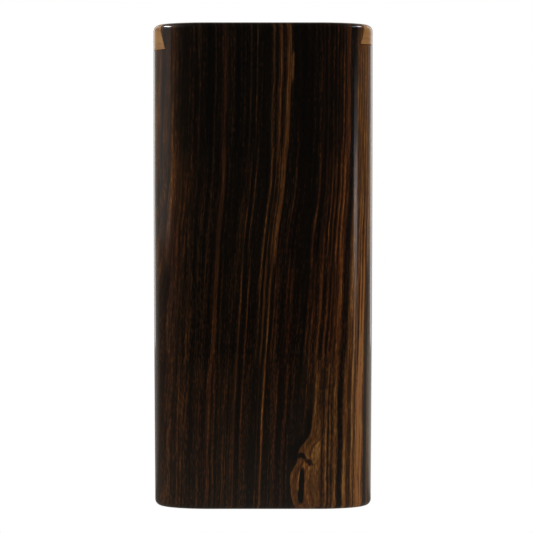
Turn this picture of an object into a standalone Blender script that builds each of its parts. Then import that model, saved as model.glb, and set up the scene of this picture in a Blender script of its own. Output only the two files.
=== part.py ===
"""Pocket case for a short dip pen, with a sliding dovetail lid.

A slab-shaped block of dark hardwood stands on its end.  A tan hardwood strip
runs through its top in a dovetail groove and slides out to one side.  Under
the lid the block has a round bore with a spring-lifted dip pen, point down,
and an obround pocket with a felt bed for spare nibs.

Frame: origin at the bottom centre, +X to the side the lid slides out of,
-Y the front, +Z up.  Lengths are in millimetres; MILLIMETRE turns them to
metres.  In profiles and tables r is a radius and z a height.
"""

import math

import bmesh
import bpy
from mathutils import Matrix, Vector

MILLIMETRE = 0.001
SHARP_ANGLE = math.radians(35)    # edges steeper than this are shaded sharp

# ------------------------------------------------------------ case block
CASE_W = 52.0                     # along X
CASE_D = 25.0                     # along Y
CASE_H = 114.0                    # along Z
CORNER_A = 13.0                   # elliptical upright corner, half-axis along X
CORNER_B = 10.0                   # elliptical upright corner, half-axis along Y
EDGE_R = 1.5                      # rounding of the top and bottom edges
DRAW_IN = 0.34                    # each narrow side draws in this much to the bottom
DRAW_FROM = 85.0                  # the height where that begins
DRAW_POWER = 1.5
SIDE_LEVELS = (12, 25, 40, 55, 70, DRAW_FROM)
CORNER_SEGS = 12
EDGE_SEGS = 4

# ------------------------------------------------------------ dovetail groove
TILT = math.radians(1.5)          # the groove floor climbs towards +X
FLOOR_Z = CASE_H - 5.55           # groove floor on the centre line
FLANK = math.radians(14.0)        # the angle of a common dovetail cutter
GROOVE_HALF = 8.95                # half width at the groove floor
SIDE_GAP = 0.15                   # running gap on each flank
FLOOR_GAP = 0.12                  # running gap under the lid
LID_TRAVEL = 38.0

# ------------------------------------------------------------ how far cutters reach
BAR_HALF = 40.0                   # half length of the groove and lid bars
BAR_TOP = 9.0                     # top of those bars above the groove floor
CUT_TOP = 112.0                   # top of the upright cuts, inside the groove
OVER_FLOOR = 2.0                  # case cuts start this far above the groove floor
UNDER_FLOOR = -1.0                # lid cuts start at this height from the floor

# ------------------------------------------------------------ stop pin
STOP_X, STOP_Y = 21.0, -6.0
STOP_R = 1.0
STOP_DOWN, STOP_UP = 4.1, 1.8     # below and above the groove floor
STOP_CHAMFER = 0.25
STOP_GAP = 0.1                    # round the pin, and at the slot's +X end
STOP_HOLE_EXTRA = 0.15            # the hole is this much deeper than the pin
STOP_SLOT_HALF = 1.15
STOP_SLOT_DEPTH = 2.1

# ------------------------------------------------------------ magnets
MAGNET_R, MAGNET_H = 1.5, 1.5
MAGNET_CHAMFER = 0.12
MAGNET_GAP = 0.15
MAGNET_XY = {"left": (-8.6, 5.9), "right": (18.5, 5.9)}

# ------------------------------------------------------------ thumb scoop
SCOOP_X = 5.0
SCOOP_DEPTH, SCOOP_HALF = 1.1, 6.5
SCOOP_STRETCH_Y = 0.78
SCOOP_STEPS = 7
SCOOP_OVERRUN = 0.6               # the dish runs on this far past its rim
SCOOP_WALL = 0.9                  # outer edge of the cutter past the rim
SCOOP_CUT_H = 3.0                 # cutter's top above the case

# ------------------------------------------------------------ pen bore
BORE_X = -16.0
BORE_R = 5.1
BORE_BOTTOM = 6.0
BUSH_R, BUSH_BORE_R, BUSH_H = 6.0, 4.45, 4.0
BUSH_TOP = 107.7
BUSH_CHAMFER = 0.3
BUSH_GAP = 0.12

# ------------------------------------------------------------ nib pocket
POCKET_X0, POCKET_X1 = -1.0, 9.0  # centres of the two round ends
POCKET_R = 7.0
POCKET_BOTTOM = 60.0
FELT_GAP = 0.3
FELT_H = 1.6

# ------------------------------------------------------------ pen handle
HANDLE_TOP, HANDLE_BOTTOM = 101.0, 44.0
HANDLE_STEPS = 20
HANDLE_STATIONS = [               # (z, r): grip, waist, belly, taper to the finial
    (HANDLE_BOTTOM, 3.75), (46.5, 3.9), (57.0, 3.3), (76.0, 3.9),
    (HANDLE_TOP, 3.25),
]
TENON_R, TENON_BOTTOM, TENON_CHAMFER = 2.8, 40.0, 0.3
TENON_GAP = 0.15                  # round both tenons of the pen

# ------------------------------------------------------------ pen finial
BALL_R = 3.0
BALL_Z = 105.33                   # centre of the finial ball
BALL_FOOT = 2.45                  # the ball begins this far below its centre
BALL_STEPS = 11
FINIAL_TENON_R = 1.5
FINIAL_TENON_Z, FINIAL_BORE_Z = 95.6, 95.2
COLLAR_Z = 101.15                 # underside of the collar, just off the handle
COLLAR_PROFILE = [                # (r, z): collar, then the neck under the ball
    (3.2, COLLAR_Z), (3.4, 101.4), (3.2, 101.75), (1.75, 102.25), (1.6, 102.6),
]

# ------------------------------------------------------------ ball ramp in the lid
RISE_PER_SLIDE = 0.263            # pen travel for each unit of lid travel
BALL_CLEAR = 0.2                  # room round the ball
RAMP_LENGTH = 22.0
RAMP_NOSE_STEPS = 7
RAMP_SEGS = 36

# ------------------------------------------------------------ ferrule, clip
FERRULE_R, FERRULE_BORE_R = 3.2, TENON_R + TENON_GAP
FERRULE_TOP, FERRULE_BOTTOM = 43.7, 31.0
FERRULE_CHAMFER_R, FERRULE_CHAMFER_H = 0.08, 0.2
BEAD_DEPTH = 0.12                 # depth of the band turned round the ferrule
BEAD_DOWN = (3.2, 2.9, 2.5, 2.2)  # the band's edges, down from the ferrule's top
CLIP_R, CLIP_BORE_R = 2.5, 2.2
CLIP_TOP, CLIP_BOTTOM = 39.6, 31.6
CLIP_BAND = 2.2                   # uncut height at the clip's top
CLIP_CUT_HALF = 0.22
CLIP_CUT_REACH = 4.0

# ------------------------------------------------------------ nib
NIB_R, NIB_T = 2.85, 0.25         # outer radius and sheet thickness
NIB_TOP, NIB_TIP = 39.0, 12.0
NIB_ROWS, NIB_COLS = 26, 11
NIB_STATIONS = [                  # (part of the way to the point, half arc in radians)
    (0.0, 1.72), (0.35, 1.68), (0.50, 1.82), (0.62, 1.50), (0.80, 0.72),
    (1.0, 0.085),
]
NIB_EASED_TO = 0.5                # eased between stations to here, then straight
BEND, BEND_FROM, BEND_POWER = 0.55, 0.55, 1.6
VENT_R, VENT_REACH = 0.43, 4.0
VENT_PLACE = 0.60                 # part of the way from base to point
SLIT_HALF, SLIT_REACH = 0.047, 5.0

# ------------------------------------------------------------ lifter, spring
LIFTER_BORE_R = 3.4
LIFTER_FLANGE_R = 4.85
LIFTER_SKIRT_R = 3.75
LIFTER_TOP, LIFTER_FLANGE_H, LIFTER_H = 43.75, 2.5, 6.5
LIFTER_CHAMFER, LIFTER_BORE_CHAMFER = 0.25, 0.15
SPRING_R, WIRE_R = 4.25, 0.35     # radius to the wire's centre, wire radius
SPRING_BOTTOM = BORE_BOTTOM + 0.1
SPRING_TOP = LIFTER_TOP - LIFTER_FLANGE_H - 0.15
SPRING_COILS = 9.5
CLOSED_COILS = 1.25               # coils laid flat at each end
CLOSED_GAP = 0.12                 # between the flat coils
STEPS_PER_COIL, WIRE_SIDES = 16, 6


# ================================================================== scene helpers
def clear_scene():
    for old in list(bpy.data.objects):
        bpy.data.objects.remove(old, do_unlink=True)


def material(name, rgb, roughness, metallic=0.0, coat=0.0):
    mat = bpy.data.materials.new(name)
    mat.use_nodes = True
    inputs = mat.node_tree.nodes["Principled BSDF"].inputs
    inputs["Base Color"].default_value = (*rgb, 1.0)
    inputs["Roughness"].default_value = roughness
    inputs["Metallic"].default_value = metallic
    inputs["Coat Weight"].default_value = coat
    mat.diffuse_color = (*rgb, 1.0)
    return mat


def add_empty(name, location, rotation=(0, 0, 0)):
    empty = bpy.data.objects.new(name, None)
    bpy.context.collection.objects.link(empty)
    empty.location = Vector(location) * MILLIMETRE
    empty.rotation_euler = rotation
    return empty


def add_object(name, solid, mat=None, parent=None, location=(0, 0, 0), smooth=True):
    """Put a bmesh, in millimetres, into the scene as one named object."""
    bmesh.ops.recalc_face_normals(solid, faces=solid.faces)
    bmesh.ops.scale(solid, vec=(MILLIMETRE,) * 3, verts=solid.verts)
    mesh = bpy.data.meshes.new(name)
    solid.to_mesh(mesh)
    solid.free()
    if smooth:
        mesh.shade_smooth()
        mesh.set_sharp_from_angle(angle=SHARP_ANGLE)
    if mat:
        mesh.materials.append(mat)
    piece = bpy.data.objects.new(name, mesh)
    bpy.context.collection.objects.link(piece)
    piece.location = Vector(location) * MILLIMETRE
    piece.parent = parent
    return piece


def add_cutter(name, solid, parent=None, location=(0, 0, 0)):
    cutter = add_object(name, solid, parent=parent, location=location, smooth=False)
    cutter.hide_render = True
    cutter.display_type = "WIRE"
    return cutter


def boolean(piece, cutter, operation="DIFFERENCE"):
    modifier = piece.modifiers.new(cutter.name, "BOOLEAN")
    modifier.operation = operation
    modifier.solver = "EXACT"
    modifier.object = cutter


# ================================================================== solid helpers
def loft(rings):
    """A closed solid through rings of equal length, capped at both ends."""
    solid = bmesh.new()
    rows = [[solid.verts.new(point) for point in ring] for ring in rings]
    count = len(rows[0])
    for lower, upper in zip(rows, rows[1:]):
        for i in range(count):
            j = (i + 1) % count
            solid.faces.new((lower[i], lower[j], upper[j], upper[i]))
    solid.faces.new(list(reversed(rows[0])))
    solid.faces.new(rows[-1])
    return solid


def circle(segs):
    """(cosine, sine) of each of segs equal steps round a circle."""
    angles = [2 * math.pi * i / segs for i in range(segs)]
    return [(math.cos(angle), math.sin(angle)) for angle in angles]


def turned(profile, segs, stretch_y=1.0):
    """Turn an (r, z) profile about Z.

    A profile that begins and ends on the axis makes a solid of revolution;
    one that doesn't is taken as a closed loop and makes a ring.
    """
    solid = bmesh.new()
    rows = []
    for r, z in profile:
        if r < 1e-9:
            rows.append([solid.verts.new((0, 0, z))])
        else:
            rows.append([solid.verts.new((r * cosine, r * sine * stretch_y, z))
                         for cosine, sine in circle(segs)])
    pairs = list(zip(rows, rows[1:]))
    if len(rows[0]) > 1:
        pairs.append((rows[-1], rows[0]))
    for lower, upper in pairs:
        for i in range(segs):
            j = (i + 1) % segs
            if len(lower) == 1:
                solid.faces.new((lower[0], upper[i], upper[j]))
            elif len(upper) == 1:
                solid.faces.new((lower[i], upper[0], lower[j]))
            else:
                solid.faces.new((lower[i], upper[i], upper[j], lower[j]))
    return solid


def plug(radius, z0, z1, segs):
    return turned([(0, z0), (radius, z0), (radius, z1), (0, z1)], segs)


def box(half_x, y0, y1, z0, z1):
    return loft([[(-half_x, y0, z), (half_x, y0, z), (half_x, y1, z), (-half_x, y1, z)]
                 for z in (z0, z1)])


def obround(x0, x1, radius, z0, z1, segs=16):
    """A straight-sided solid with round ends centred on x0 and x1."""
    outline = []
    for x, start in ((x1, -math.pi / 2), (x0, math.pi / 2)):
        for k in range(segs + 1):
            angle = start + math.pi * k / segs
            outline.append((x + radius * math.cos(angle), radius * math.sin(angle)))
    return loft([[(x, y, z) for x, y in outline] for z in (z0, z1)])


def interpolate(stations, place, eased_to=math.inf):
    """Value at a place in (place, value) stations.

    Spans that end by eased_to are eased at both ends, the others are straight.
    """
    for (start, first), (end, last) in zip(stations, stations[1:]):
        if place <= end:
            part = (place - start) / (end - start)
            if end <= eased_to:
                part = part * part * (3 - 2 * part)
            return first + (last - first) * part


# ================================================================== case body and lid
def case_outline(inset):
    """The case's plan: flat sides joined by elliptical corners."""
    centre_x, centre_y = CASE_W / 2 - CORNER_A, CASE_D / 2 - CORNER_B
    points = []
    for quarter, (sign_x, sign_y) in enumerate(((1, 1), (-1, 1), (-1, -1), (1, -1))):
        for k in range(CORNER_SEGS + 1):
            angle = math.pi / 2 * (quarter + k / CORNER_SEGS)
            cosine, sine = math.cos(angle), math.sin(angle)
            normal_x, normal_y = cosine / CORNER_A, sine / CORNER_B
            length = math.hypot(normal_x, normal_y)
            points.append((
                sign_x * centre_x + CORNER_A * cosine - inset * normal_x / length,
                sign_y * centre_y + CORNER_B * sine - inset * normal_y / length))
    return points


def width_scale(z):
    below = max(0.0, (DRAW_FROM - z) / DRAW_FROM)
    return 1 - 2 * DRAW_IN / CASE_W * below ** DRAW_POWER


def block():
    """The whole outer form, lid included, with rounded end edges."""
    edge = []                     # (inset, distance from the end face)
    for k in range(EDGE_SEGS + 1):
        angle = math.pi / 2 * k / EDGE_SEGS
        edge.append((EDGE_R * (1 - math.sin(angle)), EDGE_R * (1 - math.cos(angle))))
    levels = edge + [(0.0, z) for z in SIDE_LEVELS]
    levels += [(inset, CASE_H - z) for inset, z in reversed(edge)]
    return loft([[(x * width_scale(z), y, z) for x, y in case_outline(inset)]
                 for inset, z in levels])


def dovetail_bar(half, z0):
    """A bar along X, wide side down; half is its half width at the groove floor."""
    slope = math.tan(FLANK)
    low, high = half - z0 * slope, half - BAR_TOP * slope
    section = [(-low, z0), (low, z0), (high, BAR_TOP), (-high, BAR_TOP)]
    return loft([[(x, y, z) for y, z in section] for x in (-BAR_HALF, BAR_HALF)])


def magnet_cutters(part, z0, z1, slide):
    return [add_cutter(f"{part}_magnet_cut_{side}",
                       plug(MAGNET_R + MAGNET_GAP, z0, z1, segs=28), slide, (x, y, 0))
            for side, (x, y) in MAGNET_XY.items()]


def add_case_body(wood, slide, pen_line):
    body = add_object("case_body", block(), wood)
    cutters = [
        add_cutter("groove_cut", dovetail_bar(GROOVE_HALF, 0.0), slide),
        add_cutter("bore_cut", plug(BORE_R, BORE_BOTTOM, CUT_TOP, segs=40), pen_line),
        add_cutter("bush_seat_cut", plug(
            BUSH_R + BUSH_GAP, BUSH_TOP - BUSH_H - BUSH_GAP, CUT_TOP, segs=40), pen_line),
        add_cutter("pocket_cut", obround(
            POCKET_X0, POCKET_X1, POCKET_R, POCKET_BOTTOM, CUT_TOP)),
        add_cutter("stop_hole_cut", plug(
            STOP_R + STOP_GAP, -STOP_DOWN - STOP_HOLE_EXTRA, OVER_FLOOR, segs=20),
            slide, (STOP_X, STOP_Y, 0)),
    ]
    cutters += magnet_cutters("case", -MAGNET_H - 2 * MAGNET_GAP, OVER_FLOOR, slide)
    for cutter in cutters:
        boolean(body, cutter)


def ramp():
    """The finial ball's path through the lid, with a little room round it.

    It presses the finial down as the lid closes.
    """
    climb = (RISE_PER_SLIDE - math.sin(TILT)) / math.cos(TILT)
    along = Vector((-1, 0, climb)).normalized()
    across = Vector((0, 1, 0))
    upward = Vector((climb, 0, 1)).normalized()
    radius = BALL_R + BALL_CLEAR
    start = Vector((BORE_X, 0, BALL_Z))
    stations = []                 # (centre, radius): round nose, then the far end
    for k in range(1, RAMP_NOSE_STEPS + 1):
        angle = math.pi / 2 * k / RAMP_NOSE_STEPS
        stations.append((start - along * radius * math.cos(angle),
                         radius * math.sin(angle)))
    stations.append((start + along * RAMP_LENGTH, radius))
    return loft([[centre + size * (cosine * across + sine * upward)
                  for cosine, sine in circle(RAMP_SEGS)]
                 for centre, size in stations])


def scoop():
    """A shallow dish, measured from the case's top face."""
    radius = (SCOOP_HALF ** 2 + SCOOP_DEPTH ** 2) / (2 * SCOOP_DEPTH)
    profile = [(0, -SCOOP_DEPTH)]
    for k in range(1, SCOOP_STEPS + 1):
        r = (SCOOP_HALF + SCOOP_OVERRUN) * k / SCOOP_STEPS
        profile.append((r, radius - SCOOP_DEPTH - math.sqrt(radius ** 2 - r ** 2)))
    profile += [(SCOOP_HALF + SCOOP_WALL, SCOOP_CUT_H), (0, SCOOP_CUT_H)]
    return turned(profile, segs=40, stretch_y=SCOOP_STRETCH_Y)


def add_lid(wood, slide):
    lid = add_object("sliding_lid", dovetail_bar(
        GROOVE_HALF - SIDE_GAP / math.cos(FLANK), FLOOR_GAP), wood, slide)
    boolean(lid, add_cutter("outer_form", block()), "INTERSECT")
    cutters = [add_cutter("stop_slot_cut", obround(
        STOP_X - LID_TRAVEL, STOP_X + STOP_GAP, STOP_SLOT_HALF, UNDER_FLOOR,
        FLOOR_GAP + STOP_SLOT_DEPTH, segs=10), slide, (0, STOP_Y, 0))]
    cutters += magnet_cutters(
        "lid", UNDER_FLOOR, FLOOR_GAP + MAGNET_H + 2 * MAGNET_GAP, slide)
    cutters.append(add_cutter("ramp_cut", ramp()))
    cutters.append(add_cutter("scoop_cut", scoop(), location=(SCOOP_X, 0, CASE_H)))
    for cutter in cutters:
        boolean(lid, cutter)


# ================================================================== case fittings
def add_stop_pin(metal, slide):
    add_object("lid_stop_pin", turned([
        (0, -STOP_DOWN), (STOP_R, -STOP_DOWN), (STOP_R, STOP_UP - STOP_CHAMFER),
        (STOP_R - STOP_CHAMFER, STOP_UP), (0, STOP_UP)], segs=20),
        metal, slide, (STOP_X, STOP_Y, 0))


def add_magnets(metal, slide):
    """Two pairs of discs that face each other across the floor gap."""
    face_r = MAGNET_R - MAGNET_CHAMFER
    disc = [(0, 0), (face_r, 0), (MAGNET_R, MAGNET_CHAMFER),
            (MAGNET_R, MAGNET_H - MAGNET_CHAMFER), (face_r, MAGNET_H), (0, MAGNET_H)]
    for side, (x, y) in MAGNET_XY.items():
        for part, z in (("case", -MAGNET_H - MAGNET_GAP), ("lid", FLOOR_GAP + MAGNET_GAP)):
            add_object(f"{part}_magnet_{side}", turned(disc, segs=20),
                       metal, slide, (x, y, z))


def add_mouth_bush(metal, pen_line):
    bottom, chamfer = BUSH_TOP - BUSH_H, BUSH_CHAMFER
    add_object("mouth_bush", turned([
        (BUSH_BORE_R, bottom), (BUSH_R - chamfer, bottom), (BUSH_R, bottom + chamfer),
        (BUSH_R, BUSH_TOP - chamfer), (BUSH_R - chamfer, BUSH_TOP),
        (BUSH_BORE_R + chamfer, BUSH_TOP), (BUSH_BORE_R, BUSH_TOP - chamfer)],
        segs=40), metal, pen_line)


def add_felt(felt):
    bottom = POCKET_BOTTOM + FELT_GAP
    add_object("nib_pocket_felt", obround(
        POCKET_X0, POCKET_X1, POCKET_R - FELT_GAP, bottom, bottom + FELT_H), felt)


def spring_height(turn):
    """Height of the wire's centre after some turns from the bottom."""
    z0, z1 = SPRING_BOTTOM + WIRE_R, SPRING_TOP - WIRE_R
    flat_pitch = 2 * WIRE_R + CLOSED_GAP
    free = SPRING_COILS - 2 * CLOSED_COILS
    open_pitch = (z1 - z0 - 2 * CLOSED_COILS * flat_pitch) / free
    low = min(turn, CLOSED_COILS) * flat_pitch
    middle = min(max(turn - CLOSED_COILS, 0.0), free) * open_pitch
    top = max(turn - CLOSED_COILS - free, 0.0) * flat_pitch
    return z0 + low + middle + top


def add_spring(metal, pen_line):
    """A compression spring with closed end coils."""
    steps = int(SPRING_COILS * STEPS_PER_COIL)
    half_step = 0.5 / STEPS_PER_COIL
    rings = []
    for k in range(steps + 1):
        turn = SPRING_COILS * k / steps
        angle = 2 * math.pi * turn
        out = Vector((math.cos(angle), math.sin(angle), 0))
        rise = (spring_height(min(turn + half_step, SPRING_COILS))
                - spring_height(max(turn - half_step, 0.0)))
        along = Vector((-math.sin(angle), math.cos(angle), 0)) * (
            2 * math.pi * SPRING_R * 2 * half_step) + Vector((0, 0, rise))
        along.normalize()
        side = out.cross(along)
        centre = out * SPRING_R + Vector((0, 0, spring_height(turn)))
        rings.append([centre + WIRE_R * (cosine * out + sine * side)
                      for cosine, sine in circle(WIRE_SIDES)])
    add_object("lift_spring", loft(rings), metal, pen_line)


def add_lifter(metal, pen_line):
    """A flanged collar with its skirt inside the top of the spring."""
    top, chamfer = LIFTER_TOP, LIFTER_CHAMFER
    flange_z = top - LIFTER_FLANGE_H
    skirt_z = top - LIFTER_H
    add_object("pen_lifter", turned([
        (LIFTER_BORE_R, skirt_z), (LIFTER_SKIRT_R, skirt_z), (LIFTER_SKIRT_R, flange_z),
        (LIFTER_FLANGE_R - chamfer, flange_z), (LIFTER_FLANGE_R, flange_z + chamfer),
        (LIFTER_FLANGE_R, top - chamfer), (LIFTER_FLANGE_R - chamfer, top),
        (LIFTER_BORE_R + LIFTER_BORE_CHAMFER, top),
        (LIFTER_BORE_R, top - LIFTER_BORE_CHAMFER)], segs=32), metal, pen_line)


# ================================================================== the pen
def add_handle(wood, pen_line):
    """The handle, with a tenon below and a blind bore on top."""
    profile = [(0, TENON_BOTTOM), (TENON_R - TENON_CHAMFER, TENON_BOTTOM),
               (TENON_R, TENON_BOTTOM + TENON_CHAMFER), (TENON_R, HANDLE_BOTTOM)]
    for k in range(HANDLE_STEPS + 1):
        z = HANDLE_BOTTOM + (HANDLE_TOP - HANDLE_BOTTOM) * k / HANDLE_STEPS
        profile.append((interpolate(HANDLE_STATIONS, z), z))
    bore_r = FINIAL_TENON_R + TENON_GAP
    profile += [(bore_r, HANDLE_TOP), (bore_r, FINIAL_BORE_Z), (0, FINIAL_BORE_Z)]
    add_object("pen_handle", turned(profile, segs=28), wood, pen_line)


def add_finial(metal, pen_line):
    """Tenon, collar, neck and ball in one turning."""
    profile = [(0, FINIAL_TENON_Z), (FINIAL_TENON_R, FINIAL_TENON_Z),
               (FINIAL_TENON_R, COLLAR_Z), *COLLAR_PROFILE]
    foot_angle = math.asin(-BALL_FOOT / BALL_R)
    for k in range(BALL_STEPS):
        angle = foot_angle + (math.pi / 2 - foot_angle) * k / BALL_STEPS
        profile.append((BALL_R * math.cos(angle), BALL_Z + BALL_R * math.sin(angle)))
    profile.append((0, BALL_Z + BALL_R))
    add_object("pen_finial", turned(profile, segs=28), metal, pen_line)


def add_ferrule(metal, pen_line):
    band_r = FERRULE_R - BEAD_DEPTH
    band = [(r, FERRULE_TOP - down)
            for r, down in zip((FERRULE_R, band_r, band_r, FERRULE_R), BEAD_DOWN)]
    add_object("pen_ferrule", turned([
        (FERRULE_BORE_R, FERRULE_BOTTOM), (FERRULE_R - FERRULE_CHAMFER_R, FERRULE_BOTTOM),
        (FERRULE_R, FERRULE_BOTTOM + FERRULE_CHAMFER_H), *band,
        (FERRULE_R, FERRULE_TOP), (FERRULE_BORE_R, FERRULE_TOP)], segs=28),
        metal, pen_line)


def add_clip(metal, pen_line):
    """A tube; two crossing saw cuts from below make four springy fingers."""
    clip = add_object("nib_clip", turned([
        (CLIP_BORE_R, CLIP_BOTTOM), (CLIP_R, CLIP_BOTTOM),
        (CLIP_R, CLIP_TOP), (CLIP_BORE_R, CLIP_TOP)], segs=24), metal, pen_line)
    halves = ((CLIP_CUT_HALF, CLIP_CUT_REACH), (CLIP_CUT_REACH, CLIP_CUT_HALF))
    for k, (half_x, half_y) in enumerate(halves):
        boolean(clip, add_cutter(f"clip_cut_{k}", box(
            half_x, -half_y, half_y, CLIP_BOTTOM - 1, CLIP_TOP - CLIP_BAND), pen_line))


def nib_sheet():
    """A curved sheet facing the front, its point bent back towards the axis."""
    rings = []
    for k in range(NIB_ROWS + 1):
        part = k / NIB_ROWS
        z = NIB_TOP + (NIB_TIP - NIB_TOP) * part
        half = interpolate(NIB_STATIONS, part, eased_to=NIB_EASED_TO)
        bend = BEND * max(0.0, (part - BEND_FROM) / (1 - BEND_FROM)) ** BEND_POWER
        points = []
        for radius, order in ((NIB_R, range(NIB_COLS + 1)),
                              (NIB_R - NIB_T, range(NIB_COLS, -1, -1))):
            for i in order:
                angle = -math.pi / 2 - half + 2 * half * i / NIB_COLS
                points.append((radius * math.cos(angle),
                               radius * math.sin(angle) + bend, z))
        rings.append(points)
    return loft(rings)


def add_nib(metal, pen_line):
    """The nib, with a round vent hole and a slit from there to the point."""
    nib = add_object("pen_nib", nib_sheet(), metal, pen_line)
    vent_z = NIB_TOP + (NIB_TIP - NIB_TOP) * VENT_PLACE
    vent = plug(VENT_R, -VENT_REACH, 0.0, segs=18)
    # lay the plug down so that it reaches out to the front
    bmesh.ops.rotate(vent, verts=vent.verts, cent=(0, 0, 0),
                     matrix=Matrix.Rotation(math.radians(-90), 3, "X"))
    bmesh.ops.translate(vent, verts=vent.verts, vec=(0, 0, vent_z))
    boolean(nib, add_cutter("vent_cut", vent, pen_line))
    boolean(nib, add_cutter("slit_cut", box(
        SLIT_HALF, -SLIT_REACH, 0, NIB_TIP - 1, vent_z), pen_line))


# ================================================================== assembly
def build():
    clear_scene()

    case_wood = material("case_wood", rgb=(0.030, 0.017, 0.010), roughness=0.16, coat=0.6)
    lid_wood = material("lid_wood", rgb=(0.33, 0.19, 0.085), roughness=0.25, coat=0.4)
    handle_wood = material("handle_wood", rgb=(0.075, 0.030, 0.016), roughness=0.22)
    brass = material("brass", rgb=(0.62, 0.42, 0.15), roughness=0.25, metallic=1.0)
    spring_steel = material("spring_steel", rgb=(0.52, 0.52, 0.54), roughness=0.30,
                            metallic=1.0)
    nib_steel = material("nib_steel", rgb=(0.60, 0.60, 0.61), roughness=0.18, metallic=1.0)
    nickel = material("magnet_nickel", rgb=(0.66, 0.65, 0.62), roughness=0.22,
                      metallic=1.0)
    felt = material("felt", rgb=(0.045, 0.075, 0.055), roughness=0.95)

    # The line the lid slides on: its X axis is the slide's axis and its XY
    # plane is the groove floor.  The pen has its own line, up the bore.
    slide = add_empty("slide_line", (0, 0, FLOOR_Z), rotation=(0, -TILT, 0))
    pen_line = add_empty("pen_line", (BORE_X, 0, 0))

    add_case_body(case_wood, slide, pen_line)
    add_lid(lid_wood, slide)
    add_stop_pin(brass, slide)
    add_magnets(nickel, slide)
    add_mouth_bush(brass, pen_line)
    add_felt(felt)
    add_spring(spring_steel, pen_line)
    add_lifter(brass, pen_line)

    add_handle(handle_wood, pen_line)
    add_finial(brass, pen_line)
    add_ferrule(brass, pen_line)
    add_clip(spring_steel, pen_line)
    add_nib(nib_steel, pen_line)


build()
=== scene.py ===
"""Looks for a dip pen holder: a dark striped hardwood case with a tan
dovetail lid, its pen, spring, magnets and felt, on a plain pale floor.

The case stands on z = 0, centred on x = y = 0, with its width along x and
its front toward -y, where the camera is. The pen stands upright at the left
(-x), the felt pocket is right of it, and the lid slides toward +x.
Shapes are drawn in millimetres and scaled to metres as they become objects.
"""

import math

import bmesh
import bpy
from mathutils import Matrix, Vector, noise


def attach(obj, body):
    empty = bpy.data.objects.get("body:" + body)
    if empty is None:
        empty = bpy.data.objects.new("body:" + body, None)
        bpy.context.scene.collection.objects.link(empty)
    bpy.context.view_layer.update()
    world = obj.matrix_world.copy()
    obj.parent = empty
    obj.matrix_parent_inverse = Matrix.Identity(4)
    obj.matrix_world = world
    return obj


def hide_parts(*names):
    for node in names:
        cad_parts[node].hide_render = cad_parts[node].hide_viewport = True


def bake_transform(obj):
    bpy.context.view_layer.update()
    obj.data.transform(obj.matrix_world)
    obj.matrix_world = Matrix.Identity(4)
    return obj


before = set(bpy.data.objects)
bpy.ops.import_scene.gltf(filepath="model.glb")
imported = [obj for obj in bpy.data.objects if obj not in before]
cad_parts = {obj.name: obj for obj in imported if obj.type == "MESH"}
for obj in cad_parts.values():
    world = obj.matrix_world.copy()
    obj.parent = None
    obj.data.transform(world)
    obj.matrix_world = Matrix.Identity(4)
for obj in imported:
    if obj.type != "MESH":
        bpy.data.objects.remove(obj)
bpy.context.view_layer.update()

MM = 0.001

# ============================================================ sizes
# The block: its corners are quarter ellipses, its sides draw in at the foot.
CASE_W, CASE_D, CASE_H = 52.0, 25.0, 114.0
CORNER_X, CORNER_Y, EDGE_R = 13.0, 10.0, 1.5
DRAW_IN, DRAW_FROM = 0.34, 85.0

# The lid's dovetail groove; its floor rises toward +x.
TILT, FLOOR_Z = math.radians(1.5), CASE_H - 5.55
FLANK, GROOVE_HALF, DOVETAIL_TOP = math.radians(14.0), 8.95, 9.0
SIDE_GAP, FLOOR_GAP, LID_TRAVEL = 0.15, 0.12, 38.0

# Stop pin and magnets, placed in the tilted frame of the groove floor.
STOP_X, STOP_Y, STOP_R, STOP_DOWN = 21.0, -6.0, 1.0, 4.1
STOP_SLOT_HALF, STOP_SLOT_DEPTH = 1.15, 2.1
STOP_HOLE_GAP, STOP_HOLE_DEEPER = 0.1, 0.15
MAGNET_R, MAGNET_H, MAGNET_GAP = 1.5, 1.5, 0.15
MAGNET_PLACES = ((-8.6, 5.9), (18.5, 5.9))

# Cutters run past the surface they open: upright ones to a height in the
# case's frame, tilted ones to a height over (or depth under) the floor.
CUT_TOP, TILTED_CUT_TOP, TILTED_CUT_BOTTOM = 112.0, 2.0, -1.0

# Pen bore with its bush, and the felt pocket.
BORE_X, BORE_R, BORE_BOTTOM = -16.0, 5.1, 6.0
BUSH_R, BUSH_BORE_R, BUSH_H, BUSH_TOP, BUSH_GAP = 6.0, 4.45, 4.0, 107.7, 0.12
BUSH_EDGE, BUSH_EDGE_MID = 0.3, 0.09
POCKET_X0, POCKET_X1, POCKET_R, POCKET_BOTTOM = -1.0, 9.0, 7.0, 60.0
FELT_GAP, FELT_H = 0.3, 1.6

# The finial's ball and the channel for it in the lid.
BALL_R, BALL_Z, BALL_CLEAR = 3.0, 105.33, 0.2
BALL_START = -2.45
RISE_PER_SLIDE, CHANNEL_LENGTH = 0.263, 22.0

# The oval dish in the lid's top.
DISH_X, DISH_DEPTH, DISH_HALF, DISH_SQUASH = 5.0, 1.1, 6.5, 0.78
DISH_CUT_UP = 3.0

SPRING_R, WIRE_R = 4.25, 0.35
SPRING_BOTTOM, SPRING_TOP, SPRING_COILS = 6.1, 41.1, 9.5
CLOSED_COILS, CLOSED_GAP = 1.25, 0.12

# The swelling part of the pen handle: (height, radius).
HANDLE_STATIONS = [(44.0, 3.75), (46.5, 3.9), (57.0, 3.3), (76.0, 3.9), (101.0, 3.25)]
HANDLE_END_STEP = 0.12


# ============================================================ mesh helpers
def link(ob):
    bpy.context.scene.collection.objects.link(ob)
    return ob


def smooth_below(mesh, degrees):
    mesh.shade_smooth()
    mesh.set_sharp_from_angle(angle=math.radians(degrees))


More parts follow.
